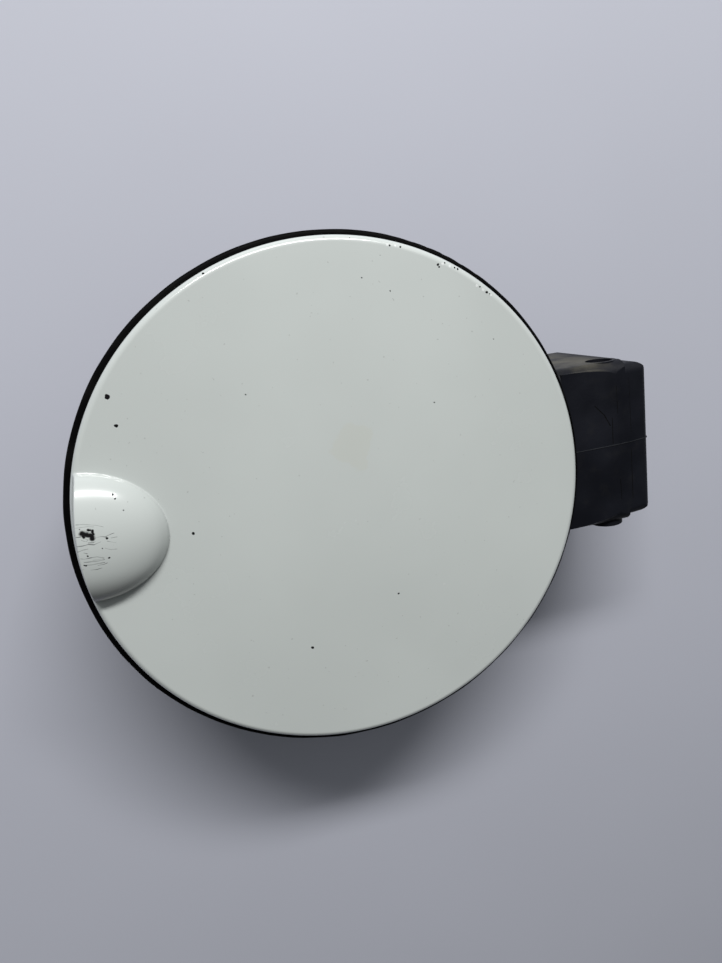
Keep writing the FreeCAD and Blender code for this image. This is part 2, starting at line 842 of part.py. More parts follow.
swan_pair = cut("swan_pair", fuse("arm_blanks", *arms), throat)
webs = []
for side, sign in (("front", -1), ("back", 1)):
    webs.append(primitive(
        "Box", f"web_{side}",
        (pivot_reach, dim.arm_spacing / 2 * sign - dim.arm_width / 2,
         pivot_height - throat_radius - dim.arm_thick / 4),
        Length=dim.web_thick, Width=dim.arm_width, Height=throat_radius + dim.arm_thick / 4,
    ))
tie_width = dim.arm_spacing
tie = cut(
    "tie",
    sector("tie_outer", arm_outer, tie_width, dim.tie_start, dim.tie_sweep),
    sector("tie_inner", arm_outer - dim.tie_thick, tie_width * 2, as_size(0), as_size(360)),
)
hub_length = (boss_inner - dim.hub_end_gap) * 2
hub = sector("hub", dim.hub_radius, hub_length, as_size(0), as_size(360))

cam = doc.addObject("PartDesign::Body", "cam_body")
cam_rise = root_of(dim.cam_corner * dim.cam_corner - dim.cam_flat * dim.cam_flat)
open_cos = cos_of(dim.open_angle)
open_sin = sin_of(dim.open_angle)


def cam_profile(sketch):
    """Cam with one flat for the shut flap and one for the open flap."""
    outline(sketch, [
        (pivot_reach, pivot_height),
        (pivot_reach + dim.cam_flat, pivot_height),
        (pivot_reach + dim.cam_flat, pivot_height + cam_rise),
        (
            pivot_reach + open_cos * dim.cam_flat + open_sin * cam_rise,
            pivot_height + open_sin * dim.cam_flat - open_cos * cam_rise,
        ),
        (pivot_reach + open_cos * dim.cam_flat, pivot_height + open_sin * dim.cam_flat),
    ])


across(cam, "Pad", "cam_pad", cam_profile, cam_width)
pin_passage = sector(
    "pin_passage", dim.pin_radius + dim.pin_clearance, hub_length * 2, as_size(0), as_size(360),
)
carrier_joined = fuse("carrier_joined", plate, swan_pair, *webs, tie, hub, cam)
hinge_carrier = cut("hinge_carrier", carrier_joined, fuse("carrier_holes", pin_passage, *screw_passages))

# Check and write the pieces

doc.recompute()
pieces = (
    filler_bowl, seal, gasket, hinge_pin, detent_spring, stop_buffers, retaining_clips,
    flap_skin, hinge_carrier, carrier_screws,
)
for item in doc.Objects:
    if "Invalid" in item.State or "Error" in item.State:
        raise RuntimeError(f"{item.Name} did not build: {item.State}")
os.makedirs("parts", exist_ok=True)
for piece in pieces:
    shape = piece.Shape
    if shape.isNull() or not shape.isValid():
        raise RuntimeError(f"{piece.Label} has no sound shape")
    shape.exportStep(f"parts/{piece.Label}.step")
    print(piece.Label, len(shape.Solids), round(shape.Volume / 1000, 2))
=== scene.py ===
"""Looks of the fuel filler flap unit: finishes, fine pieces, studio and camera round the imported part."""

import logging
import math
from dataclasses import dataclass
from enum import Enum
from typing import Callable, Sequence

import bmesh
import bpy
from mathutils import Matrix, Vector, noise


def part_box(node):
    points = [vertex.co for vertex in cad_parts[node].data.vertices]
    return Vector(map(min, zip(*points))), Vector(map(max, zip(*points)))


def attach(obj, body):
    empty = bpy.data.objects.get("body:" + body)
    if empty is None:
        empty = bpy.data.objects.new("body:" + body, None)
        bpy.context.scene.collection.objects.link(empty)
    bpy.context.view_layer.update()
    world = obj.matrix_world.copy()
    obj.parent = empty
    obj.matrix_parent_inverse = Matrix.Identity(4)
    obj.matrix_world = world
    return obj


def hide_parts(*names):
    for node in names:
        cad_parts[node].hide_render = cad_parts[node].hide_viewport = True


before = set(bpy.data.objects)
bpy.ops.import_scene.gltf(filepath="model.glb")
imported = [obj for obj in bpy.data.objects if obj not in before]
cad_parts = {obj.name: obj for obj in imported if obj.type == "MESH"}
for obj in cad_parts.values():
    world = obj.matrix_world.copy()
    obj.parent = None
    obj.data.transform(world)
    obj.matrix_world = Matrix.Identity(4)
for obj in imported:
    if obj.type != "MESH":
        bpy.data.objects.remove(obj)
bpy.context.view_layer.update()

LOG = logging.getLogger("filler_flap")
MM = 0.001
SEAM = 0.002
FULL_TURN = 360.0
Colour = tuple[float, float, float]
Point = tuple[float, float]


class Carrier(Enum):
    """Rigid bodies of the part that a piece can ride on."""

    BOWL = "bowl"
    FLAP = "flap"


class Slot(Enum):
    """Material slot names of the part's record; no piece here takes them."""

    BOWL = "bowl_plastic"
    RIM = "rim_rubber"
    PAINT = "flap_paint"
    SCREW = "screw_steel"


@dataclass(frozen=True)
class Hood:
    """Place and plan of the flap's finger hood, in millimetres and degrees."""

    turn: float = 3.8
    centre: float = 72.2
    reach: float = 22.4
    half_width: float = 18.0

    def matrix(self, height: float) -> Matrix:
        """Places the hood's own directions, inwards and sideways, in the part.

        Args:
            height: height of the hood's foot in millimetres.

        Returns:
            The place, from millimetres in the hood to metres in the part.
        """
        turn = Matrix.Rotation(-math.radians(self.turn), 4, "Z")
        foot = Matrix.Translation((0.0, 0.0, height))
        return Matrix.Scale(MM, 4) @ foot @ turn @ Matrix.Translation((-self.centre, 0.0, 0.0))


@dataclass(frozen=True)
class Arc:
    """Stretch of a turned piece, in degrees, with its number of slices."""

    start: float
    sweep: float
    steps: int

    def split(self, count: int) -> list["Arc"]:
        """Cuts the stretch into equal ones.

        Args:
            count: number of stretches, a divisor of the number of slices.

        Returns:
            The stretches in order.
        """
        sweep = self.sweep / count
        return [Arc(self.start + sweep * number, sweep, self.steps // count) for number in range(count)]


class Graph:
    """Builder for one material's shader nodes."""

    def __init__(self, name: str) -> None:
        """Starts a material with a principled shader.

        Args:
            name: name of the material.
        """
        self.material = bpy.data.materials.new(name)
        self.material.use_nodes = True
        self.tree = self.material.node_tree
        self.tree.nodes.clear()
        self.output = self.tree.nodes.new("ShaderNodeOutputMaterial")
        self.shader = self.tree.nodes.new("ShaderNodeBsdfPrincipled")
        self.tree.links.new(self.shader.outputs[0], self.output.inputs[0])
        coordinates = self.tree.nodes.new("ShaderNodeTexCoord")
        self.place = coordinates.outputs["Object"]
        self.facing = coordinates.outputs["Normal"]

    def feed(self, socket: bpy.types.NodeSocket, value: object) -> None:
        """Links a socket, or sets its constant.

        Args:
            socket: socket to feed.
            value: another socket, a number or a colour.
        """
        if isinstance(value, bpy.types.NodeSocket):
            self.tree.links.new(value, socket)
        elif isinstance(value, (int, float)):
            socket.default_value = value
        else:
            numbers = tuple(value)
            socket.default_value = (*numbers, 1.0) if len(socket.default_value) > len(numbers) else numbers

    def number(self, operation: str, *values: object) -> bpy.types.NodeSocket:
        """Adds a maths node.

        Args:
            operation: Blender's name of the operation.
            values: sockets or numbers it works on.

        Returns:
            The result's socket.
        """
        node = self.tree.nodes.new("ShaderNodeMath")
        node.operation = operation
        for socket, value in zip(node.inputs, values):
            self.feed(socket, value)
        return node.outputs[0]

    def vector(self, operation: str, first: object, second: object = None) -> bpy.types.Node:
        """Adds a vector maths node.

        Args:
            operation: Blender's name of the operation.
            first: first vector.
            second: second vector, or the scale.

        Returns:
            The node.
        """
        node = self.tree.nodes.new("ShaderNodeVectorMath")
        node.operation = operation
        self.feed(node.inputs[0], first)
        if second is not None:
            self.feed(node.inputs["Scale"] if operation == "SCALE" else node.inputs[1], second)
        return node

    def blend(self, factor: object, first: object, second: object) -> bpy.types.NodeSocket:
        """Mixes two colours.

        Args:
            factor: share of the second colour.
            first: first colour.
            second: second colour.

        Returns:
            The mixed colour's socket.
        """
        node = self.tree.nodes.new("ShaderNodeMix")
        node.data_type = "RGBA"
        self.feed(node.inputs[0], factor)
        self.feed(node.inputs[6], first)
        self.feed(node.inputs[7], second)
        return node.outputs[2]

    def cloud(self, scale: float, detail: float = 3.0, place: object = None) -> bpy.types.NodeSocket:
        """Adds a noise texture.

        Args:
            scale: number of features in a metre.
            detail: number of finer layers.
            place: where it is read, the object's own coordinates by default.

        Returns:
            The noise value's socket, around one half.
        """
        node = self.tree.nodes.new("ShaderNodeTexNoise")
        self.feed(node.inputs["Vector"], self.place if place is None else place)
        node.inputs["Scale"].default_value = scale
        node.inputs["Detail"].default_value = detail
        return node.outputs[0]

    def step(self, value: object, low: float, high: float) -> bpy.types.NodeSocket:
        """Turns a value into a soft step from 0 at low to 1 at high.

        Args:
            value: the value.
            low: where the step starts.
            high: where the step ends.

        Returns:
            The step's socket.
        """
        node = self.tree.nodes.new("ShaderNodeMapRange")
        node.interpolation_type = "SMOOTHSTEP"
        self.feed(node.inputs[0], value)
        node.inputs[1].default_value = low
        node.inputs[2].default_value = high
        return node.outputs[0]

    def along(self, vector: object, heading: Sequence[float]) -> bpy.types.NodeSocket:
        """Measures a vector along a direction.

        Args:
            vector: the vector's socket.
            heading: the direction.

        Returns:
            The length's socket.
        """
        return self.vector("DOT_PRODUCT", vector, tuple(heading)).outputs["Value"]

    def line(self, value: object, slope: float, start: float) -> bpy.types.NodeSocket:
        """Scales a value and adds a constant to it.

        Args:
            value: the value.
            slope: what it is multiplied by.
            start: what is added.

        Returns:
            The result's socket.
        """
        return self.number("ADD", self.number("MULTIPLY", value, slope), start)

    def flat_place(self) -> bpy.types.NodeSocket:
        """Gives the plan position.

        Returns:
            The object coordinates with no height.
        """
        return self.vector("MULTIPLY", self.place, (1.0, 1.0, 0.0)).outputs[0]

    def ragged(self, size: float, scale: float) -> bpy.types.NodeSocket:
        """Gives an uneven edge to a mark.

        Args:
            size: how far the edge strays, in metres.
            scale: number of features in a metre.

        Returns:
            A distance around zero.
        """
        return self.number("MULTIPLY", self.number("SUBTRACT", self.cloud(scale, 4.0), 0.5), size * 2)

    def spot(self, centre: Point, radius: float, edge: object) -> bpy.types.NodeSocket:
        """Marks a ragged spot seen in plan.

        Args:
            centre: its middle in millimetres.
            radius: its radius in millimetres.
            edge: uneven distance from ragged().

        Returns:
            1 inside the spot and 0 outside.
        """
        away = self.vector("SUBTRACT", self.flat_place(), (centre[0] * MM, centre[1] * MM, 0.0))
        far = self.number("ADD", self.vector("LENGTH", away.outputs[0]).outputs["Value"], edge)
        return self.step(far, radius * MM, radius * MM * 0.86)

    def stroke(self, start: Point, end: Point, width: float, edge: object) -> bpy.types.NodeSocket:
        """Marks a ragged line seen in plan.

        Args:
            start: first end in millimetres.
            end: last end in millimetres.
            width: its width in millimetres.
            edge: uneven distance from ragged().

        Returns:
            1 on the line and 0 off it.
        """
        run = Vector((end[0] - start[0], end[1] - start[1], 0.0)) * MM
        away = self.vector("SUBTRACT", self.flat_place(), (start[0] * MM, start[1] * MM, 0.0)).outputs[0]
        along = self.along(away, run / run.length_squared)
        held = self.number("MINIMUM", self.number("MAXIMUM", along, 0.0), 1.0)
        foot = self.vector("SCALE", tuple(run), held).outputs[0]
        gap = self.vector("DISTANCE", away, foot).outputs["Value"]
        return self.step(self.number("ADD", gap, edge), width * MM * 0.5, width * MM * 0.2)

    def most(self, marks: Sequence[object]) -> object:
        """Joins marks.

        Args:
            marks: sockets between 0 and 1.

        Returns:
            The largest of them.
        """
        joined = marks[0]
        for mark in marks[1:]:
            joined = self.number("MAXIMUM", joined, mark)
        return joined

    def bump(self, height: object, strength: float, distance: float) -> None:
        """Adds a bump on the shader.

        Args:
            height: height socket.
            strength: strength of the bump.
            distance: depth in metres.
        """
        node = self.tree.nodes.new("ShaderNodeBump")
        node.inputs["Strength"].default_value = strength
        node.inputs["Distance"].default_value = distance
        self.feed(node.inputs["Height"], height)
        self.tree.links.new(node.outputs[0], self.shader.inputs["Normal"])

    def finish(self, colour: object, roughness: object, **inputs: object) -> bpy.types.Material:
        """Feeds the shader and ends the material.

        Args:
            colour: base colour.
            roughness: roughness.
            inputs: other inputs of the shader, with underscores for spaces.

        Returns:
            The material.
        """
        self.feed(self.shader.inputs["Base Color"], colour)
        self.feed(self.shader.inputs["Roughness"], roughness)
        for name, value in inputs.items():
            self.feed(self.shader.inputs[name.replace("_", " ")], value)
        return self.material


@dataclass(frozen=True)
class PaintFinish:
    """White gloss paint over black plastic, with the chips and scratches of use."""

    colour: Colour = (0.535, 0.572, 0.555)
    under: Colour = (0.010, 0.010, 0.011)
    chips: tuple[tuple[float, float, float], ...] = (
        (-57.9, 41.4, 0.74),
        (-57.3, 33.6, 0.56),
        (-43.5, 0.7, 0.46),
        (-16.0, -41.6, 0.48),
        (-59.4, 12.3, 0.30),
        (-61.0, 15.6, 0.26),
        (-61.4, 16.6, 0.20),
        (-64.8, 6.3, 0.36),
        (-70.4, 2.6, 0.26),
        (-71.3, 0.1, 0.26),
        (-71.7, 0.3, 0.18),
        (-65.3, 0.9, 0.30),
        (-70.8, 10.0, 0.22),
        (-63.6, 4.0, 0.16),
        (-66.4, 3.8, 0.15),
        (11.9, 73.1, 0.26),
        (22.7, 69.8, 0.30),
        (25.7, 69.2, 0.34),
        (35.9, 63.2, 0.36),
        (36.1, 62.6, 0.28),
        (38.0, 63.5, 0.26),
        (40.8, 61.8, 0.34),
        (41.6, 61.3, 0.28),
        (47.7, 55.7, 0.24),
        (49.6, 53.9, 0.40),
        (50.4, 53.4, 0.26),
        (50.4, 40.6, 0.15),
        (13.7, 62.5, 0.13),
        (21.2, 58.0, 0.15),
        (19.6, 67.7, 0.20),
        (-28.0, 68.9, 0.30),
        (12.5, -30.6, 0.22),
        (30.2, 25.4, 0.18),
        (-22.7, 36.4, 0.18),
    )
    flecks: tuple[tuple[float, float, float], ...] = (
        (22.0, 70.2, 0.40),
        (24.3, 69.7, 0.34),
        (37.2, 63.3, 0.36),
        (39.3, 62.4, 0.32),
        (46.8, 56.2, 0.36),
        (48.6, 54.8, 0.42),
        (50.9, 53.0, 0.32),
    )
    # Dark tone for the hood's lower flank: painted shade, with some dirt at its foot.
    shade_and_dirt: Colour = (0.075, 0.067, 0.063)
    shade_and_dirt_share: float = 0.60
    stain: Colour = (0.52, 0.51, 0.40)
    stain_place: Point = (5.3, 17.3)
    stain_radius: float = 7.0
    speck: Colour = (0.20, 0.20, 0.19)
    fleck: Colour = (0.86, 0.88, 0.88)
    scratch: Colour = (0.055, 0.056, 0.060)
    hood: Hood = Hood()
    big_chip: tuple[tuple[Point, Point, float], ...] = (
        ((-70.4, 8.8), (-69.3, 8.3), 2.10),
        ((-69.3, 8.2), (-68.2, 7.8), 1.80),
        ((-68.2, 7.6), (-68.3, 7.0), 2.00),
        ((-67.9, 8.9), (-67.8, 8.0), 1.10),
        ((-68.8, 9.3), (-68.3, 9.2), 0.85),
        ((-70.3, 8.2), (-70.2, 7.7), 1.10),
    )
    scratches: tuple[tuple[tuple[Point, ...], float], ...] = (
        (((-71.5, 11.3), (-69.8, 11.1), (-66.7, 10.2), (-65.1, 9.4)), 0.22),
        (((-71.7, 10.5), (-68.8, 10.3), (-67.3, 9.9)), 0.16),
        (((-72.1, 8.1), (-71.0, 8.0)), 0.20),
        (((-67.2, 7.1), (-65.9, 7.0), (-64.9, 6.6)), 0.20),
        (((-64.9, 6.8), (-63.6, 7.1), (-62.8, 7.2)), 0.16),
        (((-63.8, 6.1), (-62.3, 6.0)), 0.16),
        (((-72.5, 5.7), (-71.0, 5.6), (-69.5, 5.7), (-68.2, 5.3), (-66.5, 5.7)), 0.26),
        (((-72.6, 4.2), (-71.2, 4.5), (-69.9, 4.5)), 0.24),
        (((-65.8, 3.8), (-64.5, 3.0), (-63.0, 2.8)), 0.16),
        (((-71.1, 3.7), (-70.3, 3.3)), 0.20),
        (((-72.2, 2.3), (-71.4, 2.0), (-69.7, 2.0), (-68.2, 1.9), (-66.6, 1.2)), 0.26),
        (((-71.6, 1.1), (-69.9, 0.9), (-68.2, 0.7), (-66.6, 0.7)), 0.30),
        (((-71.2, 0.2), (-69.9, 0.0), (-68.4, 0.0), (-66.7, -0.1)), 0.28),
        (((-70.5, -1.4), (-69.0, -1.6), (-67.7, -1.5)), 0.26),
        (((-69.4, 1.2), (-68.1, 1.1), (-66.7, 1.0)), 0.18),
        (((-69.5, 6.1), (-68.3, 5.9), (-67.6, 6.1)), 0.20),
        (((-64.9, 5.5), (-63.7, 4.9), (-62.9, 4.5)), 0.16),
        (((-68.5, -0.5), (-67.0, -0.6), (-66.1, -0.4)), 0.20),
        (((-70.9, 7.1), (-69.9, 6.5), (-69.3, 6.9), (-69.9, 7.3)), 0.20),
    )

    def hood_shade_and_dirt(self, graph: Graph) -> bpy.types.NodeSocket:
        """Marks the darkening of the hood's lower flank: painted shade on the side turned from the lamp, with
        a film of dirt at its foot.

        Args:
            graph: the material's nodes.

        Returns:
            The share of painted shade and dirt, 0 off the hood.
        """
        turn = math.radians(self.hood.turn)
        inward = (math.cos(turn), -math.sin(turn), 0.0)
        sideways = (math.sin(turn), math.cos(turn), 0.0)
        centre = Vector(inward) * -self.hood.centre * MM
        away = graph.vector("SUBTRACT", graph.flat_place(), tuple(centre)).outputs[0]
        reach = graph.number("DIVIDE", graph.along(away, inward), self.hood.reach * MM)
        width = graph.number("DIVIDE", graph.along(away, sideways), self.hood.half_width * MM)
        spread = graph.number("SQRT", graph.number(
            "ADD", graph.number("MULTIPLY", reach, reach), graph.number("MULTIPLY", width, width),
        ))
        foot = graph.number("MULTIPLY", graph.step(width, -0.40, -1.0), graph.step(spread, 1.03, 0.97))
        return graph.number("MULTIPLY", foot, self.shade_and_dirt_share)

    def build(self) -> bpy.types.Material:
        """Makes the material.

        Returns:
            The material.
        """
        graph = Graph("white_paint")
        chip_edge = graph.ragged(0.00042, 1100.0)
        spots = [graph.spot((x, y), radius, chip_edge) for x, y, radius in self.chips]
        spots += [graph.stroke(start, end, width, chip_edge) for start, end, width in self.big_chip]
        outside = graph.step(graph.along(graph.facing, (0.0, 0.0, 1.0)), -0.3, -0.1)
        chips = graph.number("MULTIPLY", graph.most(spots), outside)
        line_edge = graph.ragged(0.00012, 520.0)
        lines = graph.most([
            graph.stroke(start, end, width, line_edge)
            for path, width in self.scratches
            for start, end in zip(path, path[1:])
        ])
        broken = graph.step(graph.cloud(420.0, 2.0), 0.40, 0.60)
        lines = graph.number("MULTIPLY", lines, graph.line(broken, 0.45, 0.40))
        lines = graph.number("MULTIPLY", lines, outside)
        tone = graph.step(graph.cloud(14.0, 3.0), 0.30, 0.70)
        pale = tuple(min(1.0, part * 1.035) for part in self.colour)
        dull = tuple(part * 0.965 for part in self.colour)
        coat = graph.blend(tone, dull, pale)
        stain = graph.spot(self.stain_place, self.stain_radius, graph.ragged(0.008, 110.0))
        coat = graph.blend(graph.number("MULTIPLY", stain, 0.16), coat, self.stain)
        dust = graph.number("MULTIPLY", graph.step(graph.cloud(900.0, 1.0), 0.765, 0.79), 0.30)
        coat = graph.blend(dust, coat, self.speck)
        # Painted shade on the hood's lower flank, with some dirt at its foot.
        coat = graph.blend(self.hood_shade_and_dirt(graph), coat, self.shade_and_dirt)
        flecks = graph.most([graph.spot((x, y), radius, chip_edge) for x, y, radius in self.flecks])
        coat = graph.blend(graph.number("MULTIPLY", flecks, 0.5), coat, self.fleck)
        coat = graph.blend(lines, coat, self.scratch)
        coat = graph.blend(chips, coat, self.under)
        smear = graph.step(graph.cloud(38.0, 5.0), 0.35, 0.75)
        gloss = graph.line(smear, 0.06, 0.23)
        gloss = graph.number("ADD", gloss, graph.number("MULTIPLY", chips, 0.35))
        peel = graph.number("MULTIPLY", graph.cloud(260.0, 2.0), 0.10)
        sunk = graph.number("ADD", chips, graph.number("MULTIPLY", lines, 0.3))
        height = graph.number("SUBTRACT", peel, sunk)
        graph.bump(height, 0.35, 0.00018)
        film = graph.number("MULTIPLY", graph.number("SUBTRACT", 1.0, chips), 0.55)
        shine = graph.number("MULTIPLY", graph.number("SUBTRACT", 1.0, chips), 0.45)
        return graph.finish(coat, gloss, Coat_Weight=film, Coat_Roughness=0.09, Specular_IOR_Level=shine)


@dataclass(frozen=True)
class MouldedFinish:
    """Dull black moulded plastic with grain, scuffs and dust, and, where asked, painted light mixed with dust
    on the hinge pocket's +Y side.
    """

    name: str
    colour: Colour = (0.0034, 0.0040, 0.0066)
    roughness: float = 0.46
    grain: float = 1500.0
    # Colour of random dust, and also of the dust with painted light on the pocket's +Y side.
    dust: Colour = (0.120, 0.112, 0.080)
    dust_and_light_share: float = 0.0
    dust_and_light_from: Point = (0.068, 0.080)
    dust_and_light_to: Point = (0.098, 0.092)
    cut: Colour = (0.0006, 0.0006, 0.0008)
    scratches: tuple[tuple[Point, Point, float], ...] = ()

    def build(self) -> bpy.types.Material:
        """Makes the material.

        Returns:
            The material.
        """
        graph = Graph(self.name)
        tone = graph.step(graph.cloud(55.0, 5.0), 0.30, 0.72)
        base = graph.blend(tone, self.colour, tuple(part * 1.7 + 0.0010 for part in self.colour))
        dusty = graph.number("MULTIPLY", graph.step(graph.cloud(210.0, 6.0), 0.52, 0.78), 0.025)
        base = graph.blend(dusty, base, self.dust)
        # Lighter olive tone on the hinge pocket's +Y faces, the side turned to the lamp: settled dust with
        # painted light.
        if self.dust_and_light_share:
            facing = graph.step(graph.along(graph.facing, (0.0, 1.0, 0.0)), 0.45, 1.0)
            patchy = graph.step(graph.cloud(95.0, 5.0), 0.28, 0.72)
            across = graph.along(graph.place, (1.0, 0.0, 0.0))
            near, far = graph.step(across, *self.dust_and_light_from), graph.step(across, *self.dust_and_light_to)
            pocket = graph.number("MULTIPLY", near, far)
            dust_and_light = graph.number("MULTIPLY", graph.number("MULTIPLY", facing, patchy), pocket)
            dust_and_light = graph.number("MULTIPLY", dust_and_light, self.dust_and_light_share)
            base = graph.blend(dust_and_light, base, self.dust)
        cuts: object = 0.0
        if self.scratches:
            edge = graph.ragged(0.00012, 800.0)
            cuts = graph.most([graph.stroke(start, end, width, edge) for start, end, width in self.scratches])
            base = graph.blend(cuts, base, self.cut)
        rough = graph.line(tone, 0.16, self.roughness)
        relief = graph.number("SUBTRACT", graph.cloud(self.grain, 2.0), graph.number("MULTIPLY", cuts, 4.0))
        graph.bump(relief, 0.30, 0.00012)
        return graph.finish(base, rough, Specular_IOR_Level=0.18)


@dataclass(frozen=True)
class RubberFinish:
    """Black rubber, matt, with a grey bloom."""

    name: str
    colour: Colour = (0.0009, 0.0009, 0.0010)
    roughness: float = 0.62
    bloom: Colour = (0.075, 0.073, 0.068)

    def build(self) -> bpy.types.Material:
        """Makes the material.

        Returns:
            The material.
        """
        graph = Graph(self.name)
        bloom = graph.number("MULTIPLY", graph.step(graph.cloud(120.0, 5.0), 0.50, 0.80), 0.05)
        base = graph.blend(bloom, self.colour, self.bloom)
        rough = graph.line(graph.cloud(90.0, 3.0), 0.2, self.roughness - 0.1)
        graph.bump(graph.cloud(1100.0, 2.0), 0.25, 0.0001)
        return graph.finish(base, rough, Specular_IOR_Level=0.05)


@dataclass(frozen=True)
class SteelFinish:
    """Drawn or plated steel with fine lines and a little tarnish."""

    name: str
    colour: Colour = (0.46, 0.46, 0.45)
    roughness: float = 0.30
    stretch: tuple[float, float, float] = (1.0, 0.04, 1.0)
    tarnish: Colour = (0.20, 0.17, 0.14)

    def build(self) -> bpy.types.Material:
        """Makes the material.

        Returns:
            The material.
        """
        graph = Graph(self.name)
        lines = graph.cloud(2600.0, 2.0, graph.vector("MULTIPLY", graph.place, self.stretch).outputs[0])
        tarnish = graph.step(graph.cloud(160.0, 4.0), 0.45, 0.75)
        base = graph.blend(graph.number("MULTIPLY", tarnish, 0.45), self.colour, self.tarnish)
        rough = graph.line(tarnish, 0.22, self.roughness)
        graph.bump(lines, 0.15, 0.00005)
        return graph.finish(base, rough, Metallic=1.0)


def mesh_object(name: str, shell: bmesh.types.BMesh) -> bpy.types.Object:
    """Turns a finished shell into a smooth-shaded object.

    Args:
        name: name of the piece.
        shell: its faces in metres, freed here.

    Returns:
        The object, linked to the scene.
    """
    bmesh.ops.recalc_face_normals(shell, faces=shell.faces)
    mesh = bpy.data.meshes.new(name)
    shell.to_mesh(mesh)
    shell.free()
    piece = bpy.data.objects.new(name, mesh)
    bpy.context.scene.collection.objects.link(piece)
    soften(piece)
    return piece


def soften(piece: bpy.types.Object, angle: float = 32.0) -> None:
    """Shades a piece smooth and keeps its real edges sharp.

    Args:
        piece: the piece.
        angle: angle in degrees over which an edge stays sharp.
    """
    piece.data.polygons.foreach_set("use_smooth", [True] * len(piece.data.polygons))
    piece.data.set_sharp_from_angle(angle=math.radians(angle))


def rounded_edge(radius: float, height: float, size: float, flats: int) -> list[Point]:
    """Lists the corners of a turned piece's rounded upper edge.

    Args:
        radius: outer radius of the piece.
        height: height of its top.
        size: radius of the rounding.
        flats: number of flats in the rounding.

    Returns:
        Radius and height of each corner, from the top to the side.
    """
    bends = [math.pi / 2 * (1 - number / flats) for number in range(flats + 1)]
    return [(radius - size * (1 - math.cos(bend)), height - size * (1 - math.sin(bend))) for bend in bends]


def lathe(
    name: str,
    profile: Sequence[Point],
    arcs: Sequence[Arc],
    closed: bool,
    sway: Callable[[float, Point], Point],
) -> bpy.types.Object:
    """Spins a profile about the vertical axis, then moves its corners a little.

    Args:
        name: name of the piece.
        profile: radius and height of each corner, in millimetres.
        arcs: stretches that make up the whole turn, each spun by itself because long spins are slow.
        closed: whether the profile's ends meet each other, or else lie on the axis.
        sway: gives a corner's new radius and height at an angle.

    Returns:
        The object.
    """
    shell = bmesh.new()
    for arc in arcs:
        wedge = bmesh.new()
        turn = Matrix.Rotation(math.radians(arc.start), 3, "Z")
        corners = [wedge.verts.new(turn @ Vector((radius, 0.0, height)) * MM) for radius, height in profile]
        following = corners[1:] + corners[:1] if closed else corners[1:]
        sides = [wedge.edges.new(pair) for pair in zip(corners, following)]
        bmesh.ops.spin(
            wedge, geom=corners + sides, axis=(0.0, 0.0, 1.0), angle=math.radians(arc.sweep), steps=arc.steps,
            use_merge=arc.sweep == FULL_TURN,
        )
        mesh = bpy.data.meshes.new(name)
        wedge.to_mesh(mesh)
        wedge.free()
        shell.from_mesh(mesh)
        bpy.data.meshes.remove(mesh)
    bmesh.ops.remove_doubles(shell, verts=shell.verts, dist=SEAM * MM)
    for vert in shell.verts:
        angle = math.atan2(vert.co.y, vert.co.x) % math.tau
        radius, height = sway(angle, (vert.co.xy.length / MM, vert.co.z / MM))
        vert.co = Vector((radius * math.cos(angle), radius * math.sin(angle), height)) * MM
    return mesh_object(name, shell)


def grow(shell: bmesh.types.BMesh, face: bmesh.types.BMFace) -> bmesh.types.BMFace:
    """Extrudes a face in place.

    Args:
        shell: the shell it belongs to.
        face: the face.

    Returns:
        The new face, ready to be moved.
    """
    grown = bmesh.ops.extrude_face_region(shell, geom=[face, *face.edges, *face.verts])
    return next(part for part in grown["geom"] if isinstance(part, bmesh.types.BMFace))


def standoff(gap: float, width: float) -> float:
    """Gives how far a rounded joint of two surfaces stands off from the sharp one.

    Args:
        gap: height between the two surfaces.
        width: gap at which the rounding starts.

    Returns:
        The height that the rounding adds or takes.
    """
    share = max(width - abs(gap), 0.0) / width
    return share * share * width * 0.25


def carve(piece: bpy.types.Object, cutters: Sequence[bpy.types.Object]) -> None:
    """Cuts solids out of a piece and takes them away.

    Args:
        piece: the piece.
        cutters: the solids.
    """
    for cutter in cutters:
        modifier = piece.modifiers.new(cutter.name, "BOOLEAN")
        modifier.operation = "DIFFERENCE"
        modifier.solver = "EXACT"
        modifier.object = cutter
    seen = piece.evaluated_get(bpy.context.evaluated_depsgraph_get())
    cut_mesh = bpy.data.meshes.new_from_object(seen)
    piece.modifiers.clear()
    piece.data = cut_mesh
    for cutter in cutters:
        bpy.data.objects.remove(cutter)
    soften(piece)


def settle(piece: bpy.types.Object, carrier: Carrier, material: bpy.types.Material) -> None:
    """Gives a new piece its body and its material.

    Args:
        piece: the piece.
        carrier: the body it rides on.
        material: its finish.
    """
    piece.data.materials.clear()
    piece.data.materials.append(material)
    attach(piece, carrier.value)
    LOG.info("%s: %d faces on %s", piece.name, len(piece.data.polygons), carrier.value)


def dress_node(node: str, material: bpy.types.Material) -> None:
    """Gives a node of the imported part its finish.

    Args:
        node: name of the node.
        material: its finish.
    """
    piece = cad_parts[node]
    piece.data.materials.clear()
    piece.data.materials.append(material)
    LOG.info("%s: dressed with %s", node, material.name)


